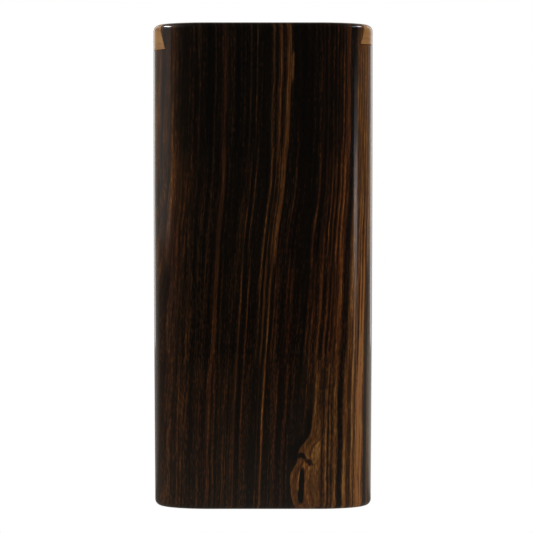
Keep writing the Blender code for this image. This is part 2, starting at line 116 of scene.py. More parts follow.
def to_object(name, shape, material=None, sharp_angle=30.0):
    """Turn a bmesh in millimetres into a linked object in metres."""
    bmesh.ops.recalc_face_normals(shape, faces=shape.faces)
    bmesh.ops.scale(shape, vec=(MM, MM, MM), verts=shape.verts)
    mesh = bpy.data.meshes.new(name)
    shape.to_mesh(mesh)
    shape.free()
    smooth_below(mesh, sharp_angle)
    ob = link(bpy.data.objects.new(name, mesh))
    if material:
        mesh.materials.append(material)
    return ob


def loft(rings):
    """Skin equal-sized rings of points and cap both ends."""
    shape = bmesh.new()
    rows = [[shape.verts.new(point) for point in ring] for ring in rings]
    count = len(rows[0])
    for lower, upper in zip(rows, rows[1:]):
        for i in range(count):
            j = (i + 1) % count
            shape.faces.new((lower[i], lower[j], upper[j], upper[i]))
    shape.faces.new(list(reversed(rows[0])))
    shape.faces.new(rows[-1])
    return shape


def turned(profile, segments, centre=(0.0, 0.0), stretch_y=1.0):
    """Turn (radius, z) points about an upright axis. A profile that starts
    off the axis is joined back to its first point."""
    shape = bmesh.new()
    rows = []
    for radius, z in profile:
        if radius < 1e-9:
            rows.append([shape.verts.new((*centre, z))])
            continue
        angles = [2 * math.pi * i / segments for i in range(segments)]
        rows.append([shape.verts.new((
            centre[0] + radius * math.cos(angle),
            centre[1] + radius * math.sin(angle) * stretch_y,
            z)) for angle in angles])
    pairs = list(zip(rows, rows[1:]))
    if len(rows[0]) > 1:
        pairs.append((rows[-1], rows[0]))
    for first, second in pairs:
        for i in range(segments):
            j = (i + 1) % segments
            if len(first) == 1:
                corners = (first[0], second[i], second[j])
            elif len(second) == 1:
                corners = (first[i], second[0], first[j])
            else:
                corners = (first[i], second[i], second[j], first[j])
            shape.faces.new(corners)
    return shape


def plug(radius, z0, z1, segments, centre=(0.0, 0.0)):
    return turned([(0, z0), (radius, z0), (radius, z1), (0, z1)], segments, centre)


def obround_points(x0, x1, radius, segments):
    """An outline of two half circles centred at x0 and x1."""
    points = []
    for centre_x, first in ((x1, -math.pi / 2), (x0, math.pi / 2)):
        for k in range(segments + 1):
            angle = first + math.pi * k / segments
            points.append((centre_x + radius * math.cos(angle), radius * math.sin(angle)))
    return points


def obround(x0, x1, radius, z0, z1, segments, centre_y=0.0):
    points = obround_points(x0, x1, radius, segments)
    return loft([[(x, y + centre_y, z) for x, y in points] for z in (z0, z1)])


def on_slide(shape, x=0.0, y=0.0):
    """Move a shape from the groove floor's frame to the case's frame."""
    bmesh.ops.translate(shape, verts=shape.verts, vec=(x, y, 0))
    bmesh.ops.rotate(shape, verts=shape.verts, cent=(0, 0, 0),
                     matrix=Matrix.Rotation(-TILT, 3, "Y"))
    bmesh.ops.translate(shape, verts=shape.verts, vec=(0, 0, FLOOR_Z))
    return shape


def cut_all(ob, steps):
    """Apply (operation, shape) Boolean steps in order, drop the cutters and
    give the result crisp shading."""
    cutters = []
    for k, (operation, shape) in enumerate(steps):
        cutter = to_object("cutter_%02d" % k, shape)
        mod = ob.modifiers.new("cut_%02d" % k, "BOOLEAN")
        mod.operation = operation
        mod.solver = "EXACT"
        mod.object = cutter
        cutters.append(cutter)
    bpy.context.view_layer.update()
    graph = bpy.context.evaluated_depsgraph_get()
    mesh = bpy.data.meshes.new_from_object(ob.evaluated_get(graph))
    ob.modifiers.clear()
    old = ob.data
    ob.data = mesh
    mesh.name = ob.name
    bpy.data.meshes.remove(old)
    for cutter in cutters:
        bpy.data.objects.remove(cutter, do_unlink=True)

    smooth_below(mesh, 32.0)
    mod = ob.modifiers.new("face_normals", "WEIGHTED_NORMAL")
    mod.keep_sharp = True
    mod.weight = 60
    mod.mode = "FACE_AREA"


# ============================================================ node shorthand
FALL = (1.0, 0.0)


class Value:
    """A node output. Arithmetic on it makes Math nodes; taking away a plain
    number is made as adding its negative."""

    def __init__(self, graph, socket):
        self.graph = graph
        self.socket = socket

    def __add__(self, other):
        return self.graph.math("ADD", self, other)

    def __radd__(self, other):
        return self.graph.math("ADD", other, self)

    def __sub__(self, other):
        if isinstance(other, Value):
            return self.graph.math("SUBTRACT", self, other)
        return self + -other

    def __rsub__(self, other):
        return self.graph.math("SUBTRACT", other, self)

    def __mul__(self, other):
        return self.graph.math("MULTIPLY", self, other)

    def __rmul__(self, other):
        return self.graph.math("MULTIPLY", other, self)

    def __truediv__(self, other):
        return self.graph.math("DIVIDE", self, other)

    def __rtruediv__(self, other):
        return self.graph.math("DIVIDE", other, self)

    def __pow__(self, power):
        return self.graph.math("POWER", self, power)

    def __abs__(self):
        return self.graph.math("ABSOLUTE", self)

    def exp(self):
        return self.graph.math("EXPONENT", self)

    def sqrt(self):
        return self.graph.math("SQRT", self)

    def at_least(self, other):
        return self.graph.math("MAXIMUM", self, other)

    def swing(self, amount):
        """A noise value turned to swing about zero."""
        return (self - 0.5) * amount

    def span(self, start, end, out=(0.0, 1.0), kind="LINEAR"):
        """Go from out[0] at start to out[1] at end, and hold beyond."""
        return self.graph.value("MapRange", self, start, end, *out,
                                interpolation_type=kind, clamp=True)

    def ease(self, start, end, out=(0.0, 1.0)):
        """A span with soft ends."""
        return self.span(start, end, out, "SMOOTHSTEP")

    def curve(self, points):
        node = self.graph.node("FloatCurve", 1.0, self)
        line = node.mapping.curves[0]
        line.points[0].location = points[0]
        line.points[1].location = points[-1]
        for point in points[1:-1]:
            line.points.new(*point)
        node.mapping.update()
        return Value(self.graph, node.outputs[0])


class Graph:
    """The node tree of a material or a world."""

    def __init__(self, owner, output_kind):
        owner.use_nodes = True
        self.tree = owner.node_tree
        self.tree.nodes.clear()
        self.output = self.node(output_kind).inputs[0]

    def put(self, value, socket):
        if isinstance(value, Value):
            self.tree.links.new(value.socket, socket)
        elif socket.type == "RGBA":
            socket.default_value = (*value, 1.0)
        else:
            socket.default_value = value

    def put_named(self, node, **inputs):
        for name, value in inputs.items():
            self.put(value, node.inputs[name.replace("_", " ")])
        return Value(self, node.outputs[0])

    def node(self, kind, *values, **settings):
        """A node with its settings made and its first inputs filled."""
        node = self.tree.nodes.new("ShaderNode" + kind)
        for name, setting in settings.items():
            setattr(node, name, setting)
        for value, socket in zip(values, node.inputs):
            self.put(value, socket)
        return node

    def value(self, kind, *values, **settings):
        return Value(self, self.node(kind, *values, **settings).outputs[0])

    def outputs(self, kind, *values):
        return {socket.name: Value(self, socket)
                for socket in self.node(kind, *values).outputs}

    def math(self, operation, first, second=0.0, clamp=False):
        return self.value("Math", first, second, 0.0, operation=operation, use_clamp=clamp)

    def noise(self, point, scale=1.0, detail=2.0, rough=0.5, warp=0.0):
        if isinstance(point, tuple):
            point = self.value("CombineXYZ", *point)
        return self.put_named(self.node("TexNoise"), Vector=point, Scale=scale,
                              Detail=detail, Roughness=rough, Distortion=warp)

    def ramp(self, factor, stops, interpolation="LINEAR"):
        """Colours from (position, colour) stops."""
        node = self.node("ValToRGB", factor)
        node.color_ramp.interpolation = interpolation
        elements = node.color_ramp.elements
        while len(elements) > 1:
            elements.remove(elements[-1])
        for k, (position, colour) in enumerate(stops):
            element = elements[0] if k == 0 else elements.new(position)
            element.position = position
            element.color = (*colour, 1.0)
        return Value(self, node.outputs[0])

    def mix(self, factor, first, second, kind="MIX"):
        node = self.node("Mix", data_type="RGBA", blend_type=kind, clamp_factor=True)
        sockets = [socket for socket in node.inputs if socket.enabled]
        for value, socket in zip((factor, first, second), sockets):
            self.put(value, socket)
        return Value(self, [socket for socket in node.outputs if socket.enabled][0])

    def bump(self, height, strength, distance):
        return self.put_named(self.node("Bump"), Strength=strength, Distance=distance,
                              Height=height)


class Surface(Graph):
    """A new material's graph, with object coordinates in millimetres."""

    def __init__(self, name):
        self.material = bpy.data.materials.new(name)
        super().__init__(self.material, "OutputMaterial")
        self.point = self.value("VectorMath", self.outputs("TexCoord")["Object"],
                                (1 / MM, 1 / MM, 1 / MM), operation="MULTIPLY")
        self.axes = tuple(self.outputs("SeparateXYZ", self.point).values())

    def finish(self, **inputs):
        self.put(self.put_named(self.node("BsdfPrincipled"), **inputs), self.output)
        return self.material


# ============================================================ dark case wood
# How much light wood each growth layer holds, at four heights:
# (position across the layers, level).
TOP_LAYERS = [
    (-26.0, 0.5), (-22.0, 0.4), (-21.2, 0.36), (-20.6, 0.36), (-20.1, 0.24), (-19.7, 0.3),
    (-19.3, 0.22), (-19.0, 0.12), (-18.5, 0.12), (-17.6, 0.07), (-16.5, 0.06), (-14.8, 0.01),
    (-14.4, 0.14), (-14.0, 0.0), (-11.3, 0.0), (-10.9, 0.14), (-10.5, 0.0), (-9.0, 0.08),
    (-8.7, 0.22), (-8.3, 0.24), (-7.9, 0.08), (-6.9, 0.0), (-6.6, 0.06), (-6.2, 0.0),
    (-2.9, 0.0), (-2.6, 0.2), (-2.2, 0.01), (-1.4, 0.01), (-1.1, 0.18), (-0.7, 0.0),
    (2.2, 0.03), (2.5, 0.3), (2.75, 0.34), (3.05, 0.06), (3.6, 0.04), (3.85, 0.22),
    (4.1, 0.36), (4.4, 0.42), (4.7, 0.16), (4.95, 0.03), (5.4, 0.03), (5.65, 0.3),
    (6.0, 0.44), (6.3, 0.4), (6.7, 0.44), (6.95, 0.0), (11.5, 0.0), (13.0, 0.0),
    (14.4, 0.03), (14.7, 0.2), (15.1, 0.01), (15.5, 0.03), (15.8, 0.2), (16.2, 0.01),
    (16.9, 0.01), (17.2, 0.09), (17.6, 0.01), (18.1, 0.2), (18.5, 0.01), (19.0, 0.2),
    (19.4, 0.03), (19.8, 0.3), (20.2, 0.04), (20.7, 0.24), (21.1, 0.4), (21.45, 0.42),
    (21.8, 0.14), (22.3, 0.0), (22.8, 0.03), (23.5, 0.1), (24.0, 0.5), (24.5, 0.66),
    (25.2, 0.45), (25.7, 0.52), (26.4, 0.58), (27.2, 0.5), (28.2, 0.62), (31.0, 0.5)]
UPPER_LAYERS = [
    (-26.0, 0.46), (-21.8, 0.42), (-20.6, 0.24), (-20.0, 0.26), (-19.7, 0.5), (-19.3, 0.36),
    (-18.9, 0.24), (-18.0, 0.22), (-17.0, 0.14), (-15.0, 0.08), (-11.3, 0.0), (-11.0, 0.14),
    (-10.6, 0.0), (-9.1, 0.01), (-8.6, 0.32), (-8.0, 0.34), (-7.6, 0.03), (-3.1, 0.0),
    (-2.8, 0.2), (-2.4, 0.01), (-1.8, 0.22), (-1.4, 0.01), (-0.8, 0.03), (-0.4, 0.24),
    (0.1, 0.0), (2.8, 0.03), (3.15, 0.44), (3.5, 0.06), (3.9, 0.08), (4.2, 0.44),
    (4.55, 0.06), (4.9, 0.08), (5.1, 0.42), (5.35, 0.13), (5.7, 0.44), (6.1, 0.52),
    (6.45, 0.46), (6.7, 0.0), (8.6, 0.0), (8.9, 0.13), (9.3, 0.0), (13.0, 0.01),
    (13.9, 0.03), (14.3, 0.3), (14.8, 0.01), (15.4, 0.01), (16.0, 0.28), (16.35, 0.04),
    (16.7, 0.28), (17.05, 0.01), (17.5, 0.36), (17.95, 0.03), (18.4, 0.4), (18.95, 0.03),
    (19.5, 0.46), (20.0, 0.06), (20.45, 0.52), (20.8, 0.44), (21.0, 0.16), (21.25, 0.34),
    (21.5, 0.28), (21.8, 0.04), (22.1, 0.0), (22.9, 0.08), (23.5, 0.45), (24.2, 0.62),
    (24.9, 0.46), (25.5, 0.52), (26.0, 0.7), (26.8, 0.4), (27.4, 0.66), (28.2, 0.8),
    (29.2, 0.7), (31.0, 0.65)]
MIDDLE_LAYERS = [
    (-26.0, 0.75), (-21.5, 0.75), (-20.8, 0.68), (-20.7, 0.6), (-20.2, 0.36), (-19.8, 0.16),
    (-19.0, 0.14), (-18.8, 0.24), (-18.3, 0.24), (-18.0, 0.12), (-17.5, 0.24), (-17.0, 0.14),
    (-15.4, 0.06), (-15.0, 0.23), (-14.5, 0.11), (-14.0, 0.01), (-11.5, 0.0), (-11.2, 0.09),
    (-10.8, 0.0), (-9.0, 0.01), (-8.6, 0.36), (-8.0, 0.36), (-7.5, 0.03), (-6.9, 0.03),
    (-6.6, 0.2), (-6.2, 0.03), (-4.3, 0.03), (-4.0, 0.11), (-3.6, 0.03), (-2.2, 0.04),
    (-1.7, 0.36), (-1.3, 0.04), (-0.2, 0.03), (0.1, 0.24), (0.5, 0.03), (2.7, 0.03),
    (3.0, 0.25), (3.3, 0.2), (3.6, 0.03), (3.9, 0.05), (4.1, 0.5), (4.4, 0.56),
    (4.7, 0.06), (5.3, 0.09), (5.65, 0.56), (6.0, 0.09), (6.6, 0.04), (6.9, 0.26),
    (7.2, 0.03), (7.8, 0.09), (8.2, 0.01), (9.6, 0.03), (9.9, 0.19), (10.2, 0.04),
    (10.7, 0.18), (11.0, 0.13), (11.4, 0.01), (13.0, 0.01), (14.1, 0.03), (14.5, 0.2),
    (15.0, 0.11), (15.4, 0.36), (15.75, 0.11), (16.1, 0.03), (16.8, 0.56), (17.2, 0.06),
    (17.5, 0.04), (17.85, 0.2), (18.25, 0.24), (18.6, 0.06), (19.0, 0.36), (19.3, 0.08),
    (19.7, 0.34), (20.3, 0.06), (20.75, 0.56), (21.1, 0.52), (21.5, 0.11), (22.2, 0.0),
    (22.9, 0.08), (23.6, 0.6), (24.0, 0.46), (24.5, 0.66), (25.4, 0.7), (26.2, 0.52),
    (27.1, 0.95), (27.9, 1.0), (28.5, 0.4), (29.1, 0.05), (29.7, 0.1), (31.0, 0.4)]
LOW_LAYERS = [
    (-26.0, 0.34), (-21.0, 0.3), (-19.5, 0.2), (-18.4, 0.16), (-17.9, 0.2), (-17.4, 0.18),
    (-16.8, 0.12), (-16.1, 0.22), (-15.5, 0.22), (-14.9, 0.14), (-14.4, 0.11), (-13.4, 0.1),
    (-12.9, 0.08), (-12.4, 0.1), (-11.9, 0.14), (-11.4, 0.19), (-11.0, 0.08), (-9.7, 0.08),
    (-9.4, 0.26), (-8.95, 0.32), (-8.5, 0.3), (-8.1, 0.08), (-7.5, 0.18), (-7.1, 0.14),
    (-6.7, 0.08), (-5.8, 0.21), (-5.4, 0.08), (-4.5, 0.2), (-4.1, 0.18), (-3.7, 0.08),
    (-3.0, 0.2), (-2.5, 0.14), (-2.1, 0.26), (-1.6, 0.28), (-1.2, 0.08), (-0.3, 0.08),
    (0.05, 0.24), (0.4, 0.08), (1.6, 0.16), (2.0, 0.06), (4.1, 0.08), (4.45, 0.24),
    (4.8, 0.08), (5.45, 0.2), (5.6, 0.5), (5.8, 0.62), (6.0, 0.5), (6.2, 0.08),
    (8.2, 0.06), (8.7, 0.18), (9.2, 0.18), (9.6, 0.06), (11.0, 0.08), (11.4, 0.23),
    (11.8, 0.06), (13.0, 0.08), (15.0, 0.13), (15.7, 0.26), (16.3, 0.09), (16.6, 0.26),
    (16.9, 0.34), (17.1, 0.46), (17.45, 0.46), (17.7, 0.28), (18.15, 0.15), (18.45, 0.15),
    (18.75, 0.12), (19.05, 0.22), (19.3, 0.46), (19.5, 0.34), (19.62, 0.08), (19.75, 0.08),
    (20.1, 0.42), (20.35, 0.1), (20.55, 0.1), (20.95, 0.58), (21.3, 0.34), (21.6, 0.2),
    (21.85, 0.0), (22.5, 0.0), (23.0, 0.58), (23.4, 0.84), (23.8, 0.34), (24.3, 0.24),
    (24.9, 0.85), (25.3, 0.7), (25.7, 0.3), (26.1, 0.78), (26.6, 1.0), (27.1, 1.0),
    (27.6, 0.95), (28.1, 0.75), (28.4, 0.38), (28.6, 0.3), (28.8, 0.04), (29.5, 0.08),
    (30.2, 0.3), (31.0, 0.42)]
# A ramp holds few stops, so each table is split over ramps at these places.
LAYER_CUTS = (-26.0, -12.0, 0.8, 13.0, 22.2, 31.0)

# The layers' lean: (share of the way down the case, share of the full lean).
LEAN_CURVE = [(0.0, 0.0), (0.128, 0.038), (0.304, 0.144), (0.452, 0.394),
              (0.654, 0.631), (0.797, 0.775), (0.913, 0.85), (1.0, 0.888)]
# The left rim of the knot's flame: (share of its height, share of its reach).
FLAME_CURVE = [(0.0, 0.30), (0.086, 0.13), (0.204, 0.086), (0.269, 0.19),
               (0.314, 0.31), (0.367, 0.34), (0.40, 0.39), (0.444, 0.58),
               (0.497, 0.74), (0.575, 0.81), (0.769, 0.885), (1.0, 0.95)]


def layer_level(graph, across, stops):
    """The level of a layer table, as joined ramps."""
    def level_at(place):
        for (place0, level0), (place1, level1) in zip(stops, stops[1:]):
            if place <= place1:
                return level0 + (level1 - level0) * (place - place0) / (place1 - place0)

    total = None
    for start, end in zip(LAYER_CUTS, LAYER_CUTS[1:]):
        inside = [stop for stop in stops if start < stop[0] < end]
        joined = [(start, level_at(start)), *inside, (end, level_at(end))]
        grey = graph.ramp(across.span(start, end), [
            ((place - start) / (end - start), (level, level, level))
            for place, level in joined])
        part = graph.value("RGBToBW", grey)
        total = part if total is None else total + part - level_at(start)
    return total


def across_layers(wood, wavy, fine):
    """Position across the growth layers, which stand almost edge-on to the
    front."""
    x, y, z = wood.axes
    # going down they lean to the left, most of all right of the middle
    lean = 8.0 * z.span(CASE_H, 0.0).curve(LEAN_CURVE)
    off = (x - 5.0) * x.ease(4.0, 6.0, out=(1 / 24.0, 1 / 16.0))
    share = 1.0 / (1.0 + off * off)
    slow = wood.noise((x * 0.05, y * 0.05, z * 0.030), detail=1.0)
    across = (x + (y + CASE_D / 2) * 0.5 + lean * share
              + slow.swing(0.6) + wavy.swing(0.5) + fine.swing(0.16))
    # at the foot the layers right of the knot stand a little further right
    return across + (z.ease(27.0, 15.0) * x.ease(11.0, 14.0)
                     * x.ease(20.5, 22.5, out=(-0.42, -0.12)))


def growth_bands(wood, across):
    """The light wood in the layers, blended between the four heights."""
    z = wood.axes[2]
    to_low = z.ease(38.0, 30.0)
    to_top = z.ease(79.0, 88.0)
    upward = z.ease(54.0, 62.0)
    to_upper = upward - to_top
    to_middle = 1.0 - upward - to_low
    bands = (layer_level(wood, across, TOP_LAYERS) * to_top
             + layer_level(wood, across, UPPER_LAYERS) * to_upper
             + layer_level(wood, across, MIDDLE_LAYERS) * to_middle
             + layer_level(wood, across, LOW_LAYERS) * to_low)
    # past the tables' right end the bands go on at random
    beyond = wood.noise((across * 0.55, 2.2, z * 0.006))
    bands = bands * across.ease(29.0, 31.0, out=FALL)
    bands = bands + across.ease(29.0, 31.0) * beyond.ease(0.40, 0.62, out=(0.04, 0.62))
    # a pale streak right of the middle swells near the top
    swelling = (abs(across - 6.9).ease(0.25, 0.75, out=FALL)
                * abs(z - 103.6).ease(1.6, 4.4, out=FALL))
    return bands.at_least(swelling * 0.42)


def striped_light(wood, across, fibre, vessel):
    """Lightness of the straight grain: dark ground, bands and cells."""
    _, y, z = wood.axes
    bands = growth_bands(wood, across)
    layer = wood.noise((across * 1.15, 1.7, z * 0.008), rough=0.55)
    thread = wood.noise((across * 4.0, y * 0.3, z * 0.20 + 9.0), detail=0.0)
    broken = wood.noise((across * 0.7, 4.4, z * 0.035), detail=1.0)
    tone = wood.noise((across * 0.42, 8.0, z * 0.012), detail=1.0)

    # the ground between the bands, lighter below the top, darker at the foot
    texture = layer.swing(0.8) + fibre.swing(1.6) + thread.swing(1.0)
    coarse = texture + vessel.swing(z.ease(50.0, 38.0, out=(1.4, 2.0)))
    ground = (0.048 * (coarse * 2.4).exp()
              * broken.ease(0.3, 0.7, out=(0.75, 1.3))
              * tone.ease(0.36, 0.64, out=(0.60, 1.45))
              * z.ease(86.0, 66.0, out=(0.95, 1.5))
              * z.ease(44.0, 28.0, out=(1.0, 0.80)))
    ground = wood.math("MINIMUM", ground, 0.26)

    # toward both edges the bands are split by even dark lines
    beat = wood.math("SINE", 2 * math.pi * (across * (1 / 0.95) + layer.swing(1.6)))
    comb = beat.ease(-0.9, 0.5, out=(0.50, 1.06))
    split = (across.ease(23.8, 25.0) * z.ease(28.0, 40.0, out=(0.35, 1.0))
             + across.ease(-20.8, -20.2, out=FALL))
    bands = bands * (comb * split + (1.0 - split))

    # low on the right the bands are stronger
    strong = (z.ease(27.0, 14.0, out=(0.0, 0.24)) * across.ease(15.5, 17.0)
              * across.ease(22.5, 24.0, out=FALL))
    light = ground + bands * (1.0 + strong) * (texture * 0.75).exp()

    # short light and dark specks
    cell = wood.noise((across * 5.0, y * 5.0, z * 0.75 + 17.0), detail=0.0)
    light = light + cell.ease(0.62, 0.76) * 0.04
    return light * cell.ease(0.22, 0.36, out=(0.75, 1.0))


def oval(x, z, centre, radii, power=2.0):
    """Zero at the middle of an oval spot, one on its rim."""
    return (abs((x - centre[0]) * (1 / radii[0])) ** power
            + abs((z - centre[1]) * (1 / radii[1])) ** power)


def knot_marks(wood, fine):
    """Three dark marks in the flame: an upright slot and two spots."""
    x, _, z = wood.axes
    curl = wood.noise((x * 0.55, 2.0, z * 0.5), rough=0.6)
    curled_x = x + curl.swing(1.4)
    rough_z = z + fine.swing(2.6)
    slot = oval(x + fine.swing(0.6) + (z - 5.6) * -0.06, z, centre=(9.0, 5.6),
                radii=(0.66, 4.2), power=3.4).ease(0.45, 1.55, out=FALL)
    left_spot = oval(curled_x, rough_z + (x - 8.8) * 0.3, centre=(8.75, 12.6),
                     radii=(1.25, 0.80)).ease(0.4, 1.7, out=FALL)
    right_spot = oval(curled_x, rough_z + (x - 10.6) * 0.35, centre=(10.7, 11.2),
                      radii=(1.0, 0.75)).ease(0.3, 1.9, out=FALL)
    return slot.at_least((left_spot * 0.90).at_least(right_spot * 0.72))


def add_knot(wood, light, across, wavy, fine, fibre, vessel):
    """Lay a knot's flame of pale wood low on the right of the front."""
    x, y, z = wood.axes
    near_front = y.ease(-12.0, -6.0, out=FALL)
    rim = (5.7 + 7.0 * z.span(0.0, 36.0).curve(FLAME_CURVE)
           + fine.swing(0.5) + wavy.swing(-0.5))
    side = x - rim
    flame = (side.ease(-0.10, 0.30) * across.ease(18.2, 18.7, out=FALL)
             * z.ease(17.0, 27.0, out=FALL) * near_front)
    # a dark border along the flame's left rim
    border = (side.ease(-3.0, -0.3) * side.ease(0.0, 0.2, out=FALL)
              * z.ease(9.0, 13.0) * z.ease(19.0, 28.0, out=FALL) * near_front)
    marks = knot_marks(wood, fine)
    bent = wood.noise((side * 0.9, 0.4, z * 0.09), rough=0.6)
    pale = 0.67 * ((bent.swing(1.6) + fibre.swing(1.0) + vessel.swing(0.6)) * 1.2).exp()
    keep = 1.0 - border * 0.8
    light = light * keep * (1.0 - flame) + pale * flame
    light = light * (1.0 - flame * marks * 0.96)
    return wood.math("ADD", light, 0.0, clamp=True)


def case_colour(wood, across, light):
    """Lightness to colour, with some layers turned redder."""
    z = wood.axes[2]
    colour = wood.ramp(light, [
        (0.0, (0.0016, 0.0011, 0.0006)), (0.10, (0.0082, 0.0046, 0.0020)),
        (0.25, (0.0335, 0.0130, 0.0040)), (0.45, (0.094, 0.0315, 0.0062)),
        (0.65, (0.180, 0.064, 0.0108)), (0.80, (0.270, 0.106, 0.0195)),
        (1.0, (0.46, 0.205, 0.045))])
    hue = wood.noise((across * 0.35, 5.0, z * 0.02), detail=1.0)
    ruddy = abs(across + 8.5).ease(0.8, 1.6, out=(0.30, 0.0)).at_least(
        abs(across - 10.6).ease(1.2, 2.2, out=(0.6, 0.0)))
    ruddy = ruddy.at_least(across.ease(13.5, 14.5) * across.ease(22.0, 23.0, out=(0.5, 0.0))
                           * z.ease(30.0, 45.0))
    ruddy = ruddy.at_least(hue.ease(0.45, 0.70, out=(0.0, 0.45)))
    return wood.mix(ruddy, colour, (1.0, 0.62, 0.42), "MULTIPLY")


def case_wood():
    wood = Surface("case_wood")
    x, y, z = wood.axes
    wavy = wood.noise((x * 0.14, y * 0.14, z * 0.075 + 7.3), detail=1.0)
    fine = wood.noise((x * 0.8, y * 0.8, z * 0.30 + 3.1), detail=1.0)
    across = across_layers(wood, wavy, fine)
    # long straight fibres, and short fine specks
    fibre = wood.noise((across * 2.5, y * 0.2, z * 0.030), detail=1.0, rough=0.6)
    vessel = wood.noise((across * 3.9, y * 3.6, z * 0.85), detail=0.0)
    light = striped_light(wood, across, fibre, vessel)
    light = add_knot(wood, light, across, wavy, fine, fibre, vessel)
    swell = wood.noise((x * 0.09, y * 0.09, z * 0.040), detail=1.0)
    return wood.finish(
        Base_Color=case_colour(wood, across, light), Roughness=0.42,
        Specular_IOR_Level=0.2, Normal=wood.bump(fibre, strength=0.25, distance=0.00006),
        Coat_Weight=1.0, Coat_Roughness=0.085, Coat_IOR=1.5,
        Coat_Normal=wood.bump(swell + fibre * 0.02 + vessel * 0.015,
                              strength=0.35, distance=0.00010))


# ============================================================ other woods
def lid_wood():
    """Tan wood with its grain along x."""
    wood = Surface("lid_wood")
    x, y, z = wood.axes
    # the growth layers are flat curves about a far axis
    wobble = wood.noise((x * 0.05, y * 0.25, z * 0.25))
    from_axis = ((y + 9.0) ** 2.0 + (z - 150.0) ** 2.0).sqrt()
    ring = from_axis + wobble * 2.2
    lines = wood.noise((x * 0.012, ring * 0.9, 2.0), detail=3.0, rough=0.6)
    fibre = wood.noise((x * 0.10, y * 3.2, z * 3.2), detail=3.0, rough=0.6)
    fleck = wood.noise((x * 0.28, y * 4.5, z * 4.5), detail=0.0)
    patch = wood.noise((x * 0.25, y * 0.4, z * 0.4))
    tone = lines.ease(0.3, 0.7, out=(0.32, 0.68)) + fibre.swing(0.42) + patch.swing(0.45)
    colour = wood.ramp(tone, [
        (0.0, (0.24, 0.082, 0.015)), (0.30, (0.43, 0.178, 0.037)),
        (0.55, (0.62, 0.280, 0.064)), (1.0, (0.78, 0.41, 0.118))])
    colour = wood.mix(fleck.ease(0.66, 0.80, out=(0.0, 0.55)), colour, (0.10, 0.045, 0.016))
    swell = wood.noise((x * 0.1, y * 0.15, z * 0.15))
    return wood.finish(
        Base_Color=colour, Roughness=0.45,
        Normal=wood.bump(fibre, strength=0.2, distance=0.00006),
        Coat_Weight=0.8, Coat_Roughness=0.12,
        Coat_Normal=wood.bump(swell, strength=0.3, distance=0.0001))


def handle_wood():
    """Dark red-brown wood with its grain along z."""
    wood = Surface("handle_wood")
    x, y, z = wood.axes
    wobble = wood.noise((x * 0.5, y * 0.5, z * 0.05))
    across = x * 0.9 + y * 0.5 + wobble * 1.5
    lines = wood.noise((across * 1.6, 3.0, z * 0.02), detail=3.0, rough=0.6)
    fibre = wood.noise((x * 6.0, y * 6.0, z * 0.2), detail=3.0, rough=0.6)
    tone = lines.ease(0.32, 0.68, out=(0.1, 0.75)) + fibre.swing(0.5)
    colour = wood.ramp(tone, [
        (0.0, (0.018, 0.006, 0.004)), (0.45, (0.075, 0.026, 0.014)),
        (1.0, (0.20, 0.075, 0.035))])
    return wood.finish(
        Base_Color=colour, Roughness=0.34,
        Normal=wood.bump(fibre, strength=0.3, distance=0.00005),
        Coat_Weight=0.35, Coat_Roughness=0.18)


# ============================================================ metals and felt
def metal(name, colour, roughness, ring_scale, tarnish, amount=0.25):
    """Turned or polished metal: fine rings, a little tarnish, small marks."""
    surface = Surface(name)
    x, y, z = surface.axes
    rings = surface.noise((0.3, 0.3, z * ring_scale), rough=0.6)
    cloud = surface.noise((x * 0.55, y * 0.55, z * 0.55), detail=3.0, rough=0.6)
    marks = surface.noise((x * 2.5, y * 9.0, z * 3.5), detail=1.0, warp=0.4)
    tarnished = tuple(part * fade for part, fade in zip(colour, tarnish))
    return surface.finish(
        Base_Color=surface.mix(cloud.ease(0.42, 0.72, out=(0.0, amount)), colour, tarnished),
        Metallic=1.0,
        Roughness=roughness + cloud.ease(0.4, 0.7) * 0.10 + marks.ease(0.62, 0.7) * 0.08,
        Normal=surface.bump(rings, strength=0.12, distance=0.00004))


def green_felt():
    felt = Surface("felt")
    x, y, z = felt.axes
    fuzz = felt.noise(felt.point, scale=3.2, detail=4.0, rough=0.7, warp=0.8)
    clump = felt.noise(felt.point, scale=0.7, detail=3.0, rough=0.6, warp=0.4)
    hairs = felt.noise((x * 1.2, y * 9.0, z * 5.0), rough=0.6, warp=1.4)
    colour = felt.ramp(fuzz * 0.5 + clump * 0.3 + hairs * 0.2, [
        (0.25, (0.016, 0.032, 0.022)), (0.5, (0.042, 0.078, 0.052)),
        (0.8, (0.11, 0.16, 0.12))])
    return felt.finish(
        Base_Color=colour, Roughness=0.95, Specular_IOR_Level=0.15,
        Sheen_Weight=0.55, Sheen_Roughness=0.5, Sheen_Tint=(0.55, 0.75, 0.6),
        Normal=felt.bump(fuzz + hairs * 0.6, strength=0.8, distance=0.00025))


CASE_WOOD = case_wood()
LID_WOOD = lid_wood()
HANDLE_WOOD = handle_wood()
BRASS = metal("brass", colour=(0.70, 0.47, 0.17), roughness=0.20, ring_scale=16.0,
              tarnish=(0.72, 0.62, 0.5))
SPRING_STEEL = metal("spring_steel", colour=(0.50, 0.50, 0.52), roughness=0.28,
                     ring_scale=3.0, tarnish=(0.7, 0.66, 0.6), amount=0.3)
NIB_STEEL = metal("nib_steel", colour=(0.62, 0.62, 0.62), roughness=0.16,
                  ring_scale=9.0, tarnish=(0.8, 0.78, 0.72), amount=0.2)
NICKEL = metal("magnet_nickel", colour=(0.66, 0.64, 0.60), roughness=0.18,
               ring_scale=20.0, tarnish=(0.85, 0.82, 0.75), amount=0.3)
FELT = green_felt()


